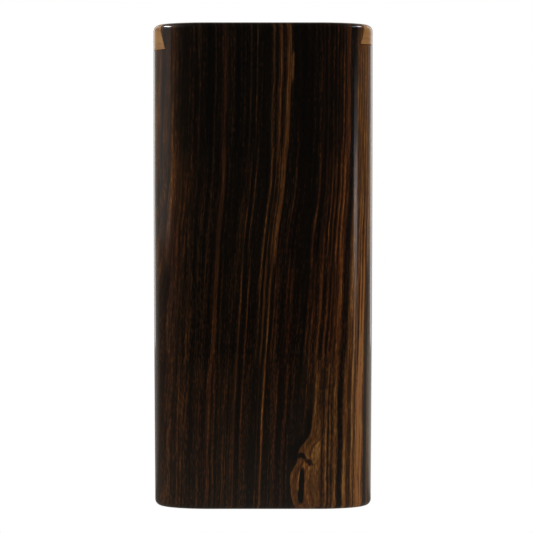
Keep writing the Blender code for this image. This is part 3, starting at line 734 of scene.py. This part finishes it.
# ============================================================ case
def outline(inset, segments=40):
    """The block's plan, moved inward by inset."""
    centre_x, centre_y = CASE_W / 2 - CORNER_X, CASE_D / 2 - CORNER_Y
    points = []
    for sign_x, sign_y, quarter in ((1, 1, 0), (-1, 1, 1), (-1, -1, 2), (1, -1, 3)):
        for k in range(segments + 1):
            angle = math.pi / 2 * (quarter + k / segments)
            cos, sin = math.cos(angle), math.sin(angle)
            normal_x, normal_y = cos / CORNER_X, sin / CORNER_Y
            length = math.hypot(normal_x, normal_y)
            points.append((sign_x * centre_x + CORNER_X * cos - inset * normal_x / length,
                           sign_y * centre_y + CORNER_Y * sin - inset * normal_y / length))
    return points


def block(edge_steps=9, side_steps=14):
    """The outer form, with rounded top and bottom edges."""
    edge = []
    for k in range(edge_steps + 1):
        angle = math.pi / 2 * k / edge_steps
        edge.append((EDGE_R * (1 - math.sin(angle)), EDGE_R * (1 - math.cos(angle))))
    levels = edge + [(0.0, EDGE_R + (DRAW_FROM - EDGE_R) * k / side_steps)
                     for k in range(1, side_steps + 1)]
    levels += [(inset, CASE_H - z) for inset, z in reversed(edge)]

    def width(z):
        down = max(0.0, (DRAW_FROM - z) / DRAW_FROM)
        return 1 - 2 * DRAW_IN / CASE_W * down ** 1.5

    return loft([[(x * width(z), y, z) for x, y in outline(inset)]
                 for inset, z in levels])


def dovetail(half, z0):
    """A long dovetail bar along x, from z0 up past the case's top."""
    low = half - z0 * math.tan(FLANK)
    high = half - DOVETAIL_TOP * math.tan(FLANK)
    section = [(-low, z0), (low, z0), (high, DOVETAIL_TOP), (-high, DOVETAIL_TOP)]
    return on_slide(loft([[(x, y, z) for y, z in section] for x in (-40.0, 40.0)]))


def magnet_holes(z0, z1):
    return [on_slide(plug(MAGNET_R + MAGNET_GAP, z0, z1, 48), x, y)
            for x, y in MAGNET_PLACES]


def build_case():
    case = to_object("case_shell", block(), CASE_WOOD)
    bore_at = (BORE_X, 0)
    cutters = [
        dovetail(GROOVE_HALF, 0.0),
        plug(BORE_R, BORE_BOTTOM, CUT_TOP, 72, bore_at),
        plug(BUSH_R + BUSH_GAP, BUSH_TOP - BUSH_H - BUSH_GAP, CUT_TOP, 80, bore_at),
        obround(POCKET_X0, POCKET_X1, POCKET_R, POCKET_BOTTOM, CUT_TOP, 36),
        on_slide(plug(STOP_R + STOP_HOLE_GAP, -STOP_DOWN - STOP_HOLE_DEEPER,
                      TILTED_CUT_TOP, 40), STOP_X, STOP_Y),
        *magnet_holes(-MAGNET_H - 2 * MAGNET_GAP, TILTED_CUT_TOP)]
    cut_all(case, [("DIFFERENCE", cutter) for cutter in cutters])
    return case


# ============================================================ lid
def ball_channel(round_steps=12, sides=64):
    """A round-ended channel from the ball toward -x, along its path in the
    sliding lid."""
    climb = (RISE_PER_SLIDE - math.sin(TILT)) / math.cos(TILT)
    along = Vector((-1, 0, climb)).normalized()
    up = Vector((climb, 0, 1)).normalized()
    across = Vector((0, 1, 0))
    radius = BALL_R + BALL_CLEAR
    start = Vector((BORE_X, 0, BALL_Z))
    stations = []
    for k in range(1, round_steps + 1):
        angle = math.pi / 2 * k / round_steps
        stations.append((start - along * radius * math.cos(angle), radius * math.sin(angle)))
    stations.append((start + along * CHANNEL_LENGTH, radius))
    angles = [2 * math.pi * i / sides for i in range(sides)]
    return loft([[centre + size * (math.cos(angle) * across + math.sin(angle) * up)
                  for angle in angles] for centre, size in stations])


def dish(steps=14):
    """A shallow spherical bowl, squashed to an oval."""
    radius = (DISH_HALF * DISH_HALF + DISH_DEPTH * DISH_DEPTH) / (2 * DISH_DEPTH)
    profile = [(0, CASE_H - DISH_DEPTH)]
    for k in range(1, steps + 1):
        x = (DISH_HALF + 0.6) * k / steps
        profile.append((x, CASE_H + radius - DISH_DEPTH - math.sqrt(radius ** 2 - x * x)))
    profile += [(DISH_HALF + 0.9, CASE_H + DISH_CUT_UP), (0, CASE_H + DISH_CUT_UP)]
    return turned(profile, 80, (DISH_X, 0.0), DISH_SQUASH)


def build_lid():
    bar = dovetail(GROOVE_HALF - SIDE_GAP / math.cos(FLANK), FLOOR_GAP)
    lid = to_object("lid_strip", bar, LID_WOOD)
    cutters = [
        on_slide(obround(STOP_X - LID_TRAVEL, STOP_X + STOP_HOLE_GAP, STOP_SLOT_HALF,
                         TILTED_CUT_BOTTOM, FLOOR_GAP + STOP_SLOT_DEPTH, 20, STOP_Y)),
        *magnet_holes(TILTED_CUT_BOTTOM, FLOOR_GAP + MAGNET_H + 2 * MAGNET_GAP),
        ball_channel(),
        dish()]
    cut_all(lid, [("INTERSECT", block())] + [("DIFFERENCE", cutter) for cutter in cutters])
    return lid


# ============================================================ pen and bush
def handle_radius(z):
    """Ease between the stations' radii."""
    for (z0, radius0), (z1, radius1) in zip(HANDLE_STATIONS, HANDLE_STATIONS[1:]):
        if z <= z1:
            part = (z - z0) / (z1 - z0)
            return radius0 + (radius1 - radius0) * (part * part * (3 - 2 * part))


def build_handle(steps=80):
    low, high = HANDLE_STATIONS[0][0], HANDLE_STATIONS[-1][0]
    # the narrow lower end
    profile = [(0, 40.0), (2.5, 40.0), (2.8, 40.3), (2.8, low)]
    for k in range(steps + 1):
        z = low + (high - low) * k / steps
        step_in = HANDLE_END_STEP if k in (0, steps) else 0.0
        profile.append((handle_radius(z) - step_in, z))
    # the finial's socket
    profile += [(1.65, high), (1.65, 95.2), (0, 95.2)]
    return to_object("handle", turned(profile, 72, (BORE_X, 0)), HANDLE_WOOD)


def build_finial(steps=32):
    # stem, flared collar and neck: (radius, z)
    profile = [(0, 95.6), (1.5, 95.6), (1.5, 101.15), (3.1, 101.15), (3.3, 101.25),
               (3.4, 101.42), (3.34, 101.6), (3.1, 101.78), (2.2, 102.06),
               (1.78, 102.28), (1.6, 102.5), (1.62, 102.7)]
    first = math.asin(BALL_START / BALL_R)
    for k in range(steps + 1):
        angle = first + (math.pi / 2 - first) * k / steps
        profile.append((BALL_R * math.cos(angle) if k < steps else 0.0,
                        BALL_Z + BALL_R * math.sin(angle)))
    return to_object("finial", turned(profile, 80, (BORE_X, 0)), BRASS)


def build_bush():
    bottom = BUSH_TOP - BUSH_H
    profile = [
        (BUSH_BORE_R, bottom), (BUSH_R - BUSH_EDGE, bottom),
        (BUSH_R, bottom + BUSH_EDGE), (BUSH_R, BUSH_TOP - BUSH_EDGE),
        (BUSH_R - BUSH_EDGE_MID, BUSH_TOP - BUSH_EDGE_MID), (BUSH_R - BUSH_EDGE, BUSH_TOP),
        (BUSH_BORE_R + BUSH_EDGE, BUSH_TOP),
        (BUSH_BORE_R + BUSH_EDGE_MID, BUSH_TOP - BUSH_EDGE_MID),
        (BUSH_BORE_R, BUSH_TOP - BUSH_EDGE)]
    return to_object("bush", turned(profile, 96, (BORE_X, 0)), BRASS)


# ============================================================ spring
def build_spring(per_turn=48, sides=14):
    """A coil with nearly closed turns at both ends."""
    bottom, top = SPRING_BOTTOM + WIRE_R, SPRING_TOP - WIRE_R
    steps = int(SPRING_COILS * per_turn)
    closed_pitch = 2 * WIRE_R + CLOSED_GAP
    free = SPRING_COILS - 2 * CLOSED_COILS
    open_pitch = (top - bottom - 2 * CLOSED_COILS * closed_pitch) / free
    half_step = 0.5 / per_turn

    def height(turn):
        low = min(turn, CLOSED_COILS) * closed_pitch
        middle = min(max(turn - CLOSED_COILS, 0.0), free) * open_pitch
        high = max(turn - CLOSED_COILS - free, 0.0) * closed_pitch
        return bottom + low + middle + high

    wire_angles = [2 * math.pi * i / sides for i in range(sides)]
    rings = []
    for k in range(steps + 1):
        turn = SPRING_COILS * k / steps
        angle = 2 * math.pi * turn
        out = Vector((math.cos(angle), math.sin(angle), 0))
        rise = (height(min(turn + half_step, SPRING_COILS))
                - height(max(turn - half_step, 0.0)))
        run = Vector((-math.sin(angle), math.cos(angle), 0)) * (
            2 * math.pi * SPRING_R * 2 * half_step) + Vector((0, 0, rise))
        side = out.cross(run.normalized())
        centre = out * SPRING_R + Vector((BORE_X, 0, height(turn)))
        rings.append([centre + WIRE_R * (math.cos(around) * out + math.sin(around) * side)
                      for around in wire_angles])
    return to_object("coil_spring", loft(rings), SPRING_STEEL, sharp_angle=50)


# ============================================================ felt bed
def build_felt():
    """A pressed wool pad: rounded edge, soft hollows and raised fibres."""
    bottom = POCKET_BOTTOM + FELT_GAP
    # (inset, height over the pad's bottom)
    levels = [(0.25, 0.0), (0.06, 0.12), (0.0, 0.4), (0.0, FELT_H - 0.5),
              (0.08, FELT_H - 0.22), (0.3, FELT_H - 0.06), (0.7, FELT_H)]
    rings = []
    for inset, z in levels:
        points = obround_points(POCKET_X0, POCKET_X1, POCKET_R - FELT_GAP - inset, 40)
        rings.append([(x, y, bottom + z) for x, y in points])
    shape = loft(rings)

    # rings of faces across the top, so that it can be roughened
    top = max(shape.faces, key=lambda face: face.calc_center_median().z)
    for _ in range(8):
        bmesh.ops.inset_region(shape, faces=[top], thickness=0.72, depth=0.0,
                               use_even_offset=True)
    bmesh.ops.subdivide_edges(
        shape, edges=[edge for edge in shape.edges if edge.calc_length() > 0.8],
        cuts=1, use_grid_fill=True)
    for vert in shape.verts:
        if vert.co.z > bottom + FELT_H - 0.3:
            broad = 0.16 * (0.5 + 0.5 * noise.noise(vert.co * 0.55))
            small = 0.10 * (0.5 + 0.5 * noise.noise(vert.co * 2.1))
            vert.co.z -= broad + small
        elif vert.co.z > bottom + 0.3:
            shift = 0.05 * noise.noise(vert.co * 1.7)
            vert.co.x += shift
            vert.co.y += shift
    return to_object("felt_bed", shape, FELT, sharp_angle=60)


# ============================================================ pieces
# (object, body it rides, part it replaces, material slot)
for piece, rides, part, slot_name in [
        (build_case(), "case", "case_body", "case_wood"),
        (build_lid(), "lid", "sliding_lid", "lid_wood"),
        (build_handle(), "pen", "pen_handle", "handle_wood"),
        (build_finial(), "pen", "pen_finial", "brass"),
        (build_bush(), "case", "mouth_bush", "brass"),
        (coil := build_spring(), None, "lift_spring", "spring_steel"),
        (build_felt(), "case", "nib_pocket_felt", "felt")]:
    if piece is not coil:
        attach(piece, rides)
        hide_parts(part)
# the spring stretches between the case and the lifter
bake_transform(coil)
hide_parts("lift_spring")

# parts kept as they come, with new materials
for part, material in (
        ("lid_stop_pin", BRASS), ("case_magnet_left", NICKEL),
        ("case_magnet_right", NICKEL), ("lid_magnet_left", NICKEL),
        ("lid_magnet_right", NICKEL), ("pen_lifter", BRASS),
        ("pen_ferrule", BRASS), ("nib_clip", SPRING_STEEL), ("pen_nib", NIB_STEEL)):
    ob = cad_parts[part]
    if not ob.material_slots:
        ob.data.materials.append(material)
    for slot in ob.material_slots:
        slot.material = material


# ============================================================ lights
def emitter(name, azimuth, elevation, distance, size, radiance,
            colour=(1, 1, 1), height=CASE_H / 2 * MM, reflected=True):
    """A rectangle light, unseen by the camera, aimed at the case's axis at
    a height. Azimuth 0 is the camera's side and 90 is +x. It shows only in
    reflections, or, with reflected off, only lights matt surfaces."""
    light = bpy.data.lights.new(name, "AREA")
    light.shape = "RECTANGLE"
    light.size, light.size_y = size
    # an area light's power is spread over its area
    light.energy = radiance * size[0] * size[1] * math.pi
    light.color = colour
    turn, lift = math.radians(azimuth), math.radians(elevation)
    place = Vector((distance * math.sin(turn) * math.cos(lift),
                    -distance * math.cos(turn) * math.cos(lift),
                    height + distance * math.sin(lift)))
    ob = link(bpy.data.objects.new(name, light))
    ob.location = place
    aim = Vector((0, 0, height)) - place
    ob.rotation_euler = aim.to_track_quat("-Z", "Y").to_euler()
    ob.visible_camera = False
    ob.visible_glossy = reflected
    ob.visible_diffuse = not reflected


# broad side lights that shape the round upright edges, and front and back
# fills: (name, azimuth, elevation, distance, size, radiance, colour)
for row in (("side_left", -84, 6, 0.75, (0.34, 0.5), 2.6, (1.0, 0.98, 0.95)),
            ("side_right", 84, 6, 0.75, (0.34, 0.5), 2.75, (1.0, 0.97, 0.93)),
            ("front_fill", -12, 42, 0.9, (0.9, 0.6), 1.2),
            ("back_fill", 168, 35, 0.9, (0.9, 0.6), 0.9)):
    emitter(*row, reflected=False)
# small bright boxes high at the sides: glints on the top edge's corners
for row in (("glint_left", -99, 43, 0.55, (0.20, 0.055), 28.0),
            ("glint_right", 100, 43, 0.55, (0.12, 0.050), 14.0, (0.96, 0.90, 1.0)),
            ("glint_wide", 92, 44, 0.55, (0.26, 0.050), 3.8, (0.96, 0.86, 1.0))):
    emitter(*row)
# stacked strips of growing size: soft-edged lines on the upright edges
for k, (width, radiance) in enumerate(((0.38, 0.11), (0.45, 0.10), (0.53, 0.10))):
    emitter("strip_left_%d" % k, azimuth=-91, elevation=14, distance=0.6 + 0.002 * k,
            size=(width, 0.30), radiance=radiance, colour=(1.0, 0.96, 0.90))
for k, (tall, radiance) in enumerate(((0.030, 0.45), (0.050, 0.53), (0.070, 0.45),
                                      (0.098, 0.33), (0.135, 0.29))):
    emitter("strip_right_%d" % k, azimuth=72.2, elevation=0, distance=0.6 + 0.002 * k,
            size=(0.095, tall), radiance=radiance, colour=(0.95, 0.96, 1.0), height=0.074)
for name, azimuth in (("strip_back_left", -150), ("strip_back_right", 146)):
    emitter(name, azimuth, elevation=12, distance=0.7, size=(0.2, 0.5), radiance=1.1)


# ============================================================ floor
def floor_material():
    """Plain and pale, with a faint shadow when seen from above. It also glows: in the case's
    reflections it paints pale cards and sheens, and to matt surfaces it paints a dim bounce
    light.
    """
    floor = Surface("floor")
    x, y, _ = floor.axes
    path = floor.outputs("LightPath")
    incoming = floor.outputs("NewGeometry")["Incoming"]
    steep = floor.outputs("SeparateXYZ", incoming)["Z"].ease(0.16, 0.5)
    distance = (x ** 2.0 + y ** 2.0).sqrt()
    # what reflections see of the floor: a painted warm glow, brightest near the case
    painted_reflection = 0.02 + 0.15 * (distance * (-1.0 / 220.0)).exp()
    # a painted pale card on the floor behind the object, seen only in reflections: it paints
    # a sheen on the upright edges
    behind = y / (distance + 0.01)
    painted_reflection = painted_reflection.at_least(0.34 * behind.ease(0.2, 0.75)
                                 * behind.ease(0.90, 0.98, out=(1.0, 0.3)))
    # a painted low card on the right, seen only in reflections: a painted sheen along the
    # foot of that flank
    aside = x / (distance + 0.01)
    painted_reflection = painted_reflection.at_least(
        (0.22 + 0.42 * behind.ease(0.25, 0.7)) * behind.ease(-0.55, -0.25)
        * aside.ease(0.15, 0.40) * distance.ease(1600.0, 150.0))
    # the floor glows white to the camera, as painted bounce light to matt surfaces, and as
    # painted reflections to glossy rays
    level = (path["Is Camera Ray"] * 1.0 + path["Is Diffuse Ray"] * 0.35
             + path["Is Glossy Ray"] * painted_reflection)
    tint = floor.mix(path["Is Glossy Ray"], (1, 1, 1), (1, 0.88, 0.74))
    glow = floor.value("Emission", tint, level)
    # the part that can take a shadow
    shaded = floor.value("AddShader",
                         floor.value("BsdfDiffuse", (0.95, 0.95, 0.95)),
                         floor.value("Emission", (1, 1, 1), 0.62))
    share = steep * path["Is Camera Ray"] * 0.85
    floor.put(floor.value("MixShader", share, glow, shaded), floor.output)
    return floor.material


grid = bmesh.new()
bmesh.ops.create_grid(grid, x_segments=1, y_segments=1, size=4000.0)
bmesh.ops.translate(grid, verts=grid.verts, vec=(0, 0, -0.05))
to_object("floor", grid, floor_material())


# ============================================================ world and view
def build_world():
    """White to the camera, a dim room brighter toward +y to the object."""
    world = bpy.data.worlds.new("room")
    bpy.context.scene.world = world
    graph = Graph(world, "OutputWorld")
    direction = graph.outputs("TexCoord")["Generated"]
    toward_back = graph.outputs("SeparateXYZ", direction)["Y"]
    stops = ((0.2, 0.032), (0.75, 0.36), (0.90, 0.36), (0.98, 0.10))
    strength = graph.ramp(toward_back, [(place, (level, level, level))
                                        for place, level in stops], "EASE")
    room = graph.value("Background", (1, 0.88, 0.72), strength)
    white = graph.value("Background", (1, 1, 1), 1.0)
    seen = graph.outputs("LightPath")["Is Camera Ray"]
    graph.put(graph.value("MixShader", seen, room, white), graph.output)


build_world()
view = bpy.context.scene.view_settings
view.view_transform = "Standard"
view.look = "None"
view.exposure = 0.0
view.gamma = 1.0

# ============================================================ camera
CAMERA_DISTANCE, CAMERA_HEIGHT = 560.0, 66.5
CAMERA_PITCH = math.radians(1.002)  # looking down

camera = bpy.data.cameras.new("camera")
camera.sensor_fit = "HORIZONTAL"
camera.sensor_width = 36.0
camera.lens = 158.318949
camera.shift_x = 0.0065666041
camera.clip_start = 0.01
camera.clip_end = 20.0
camera_ob = link(bpy.data.objects.new("camera", camera))
camera_ob.location = (0, -CAMERA_DISTANCE * MM, CAMERA_HEIGHT * MM)
camera_ob.rotation_euler = (math.pi / 2 - CAMERA_PITCH, 0, 0)
bpy.context.scene.camera = camera_ob
